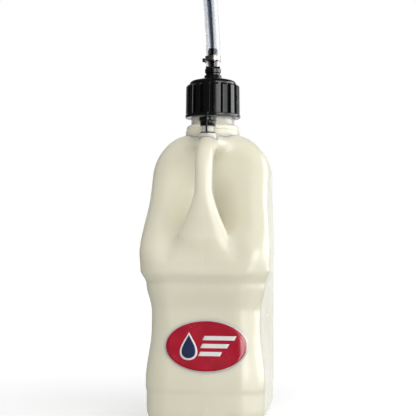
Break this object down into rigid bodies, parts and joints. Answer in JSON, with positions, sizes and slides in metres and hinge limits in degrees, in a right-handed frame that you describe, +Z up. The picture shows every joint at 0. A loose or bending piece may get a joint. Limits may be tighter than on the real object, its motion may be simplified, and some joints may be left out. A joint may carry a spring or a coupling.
{
  "type": "racing fuel jug",
  "caption": "Square ivory fuel jug with hollow front handle, ribbed black screw cap, clear filler hose on a barb with a band clamp, small tethered vent cap and an oval label.",
  "frame": {"origin": "centre of the base, on the surface that the jug stands on, under the neck's axis", "axes": "+Z up along the neck's axis, +X across the jug, -Y towards the handle"},
  "size_m": [0.2084, 0.2474, 0.9336],
  "materials": {
    "hdpe": "translucent satin",
    "black_plastic": "satin",
    "seal_rubber": "matt",
    "soft_black": "satin",
    "clear_pvc": "clear glossy",
    "steel": "polished",
    "label_film": "glossy print"
  },
  "bodies": {
    "jug": {"jug_body": "hdpe", "label": "label_film", "vent_tether": "soft_black"},
    "cap_seal": {"cap_gasket": "seal_rubber"},
    "cap": {"main_cap": "black_plastic", "hose_barb": "black_plastic", "barb_lock_nut": "black_plastic", "filler_hose": "clear_pvc", "clamp_band": "steel", "clamp_housing": "steel", "clamp_screw": "steel"},
    "vent_seal": {"vent_gasket": "seal_rubber"},
    "vent": {"vent_cap": "black_plastic"}
  },
  "joints": [
    {"name": "cap_lift", "type": "slide", "parent": "jug", "child": "cap_seal", "axis": [0, 0, 1], "range_m": [0, 0.018]},
    {"name": "cap_turn", "type": "hinge", "parent": "cap_seal", "child": "cap", "pos_m": [0, 0, 0.55], "axis": [0, 0, 1], "range_deg": [0, 1080]},
    {"name": "vent_lift", "type": "slide", "parent": "jug", "child": "vent_seal", "axis": [0, 0, 1], "range_m": [0, 0.006], "deforming": ["vent_tether"]},
    {"name": "vent_turn", "type": "hinge", "parent": "vent_seal", "child": "vent", "pos_m": [0, -0.0605, 0.485], "axis": [0, 0, 1], "range_deg": [0, 720]}
  ],
  "couplings": [
    {"joint": "cap_lift", "follows": "cap_turn", "m_per_rad": 0.00095493},
    {"joint": "vent_lift", "follows": "vent_turn", "m_per_rad": 0.00047746}
  ]
}
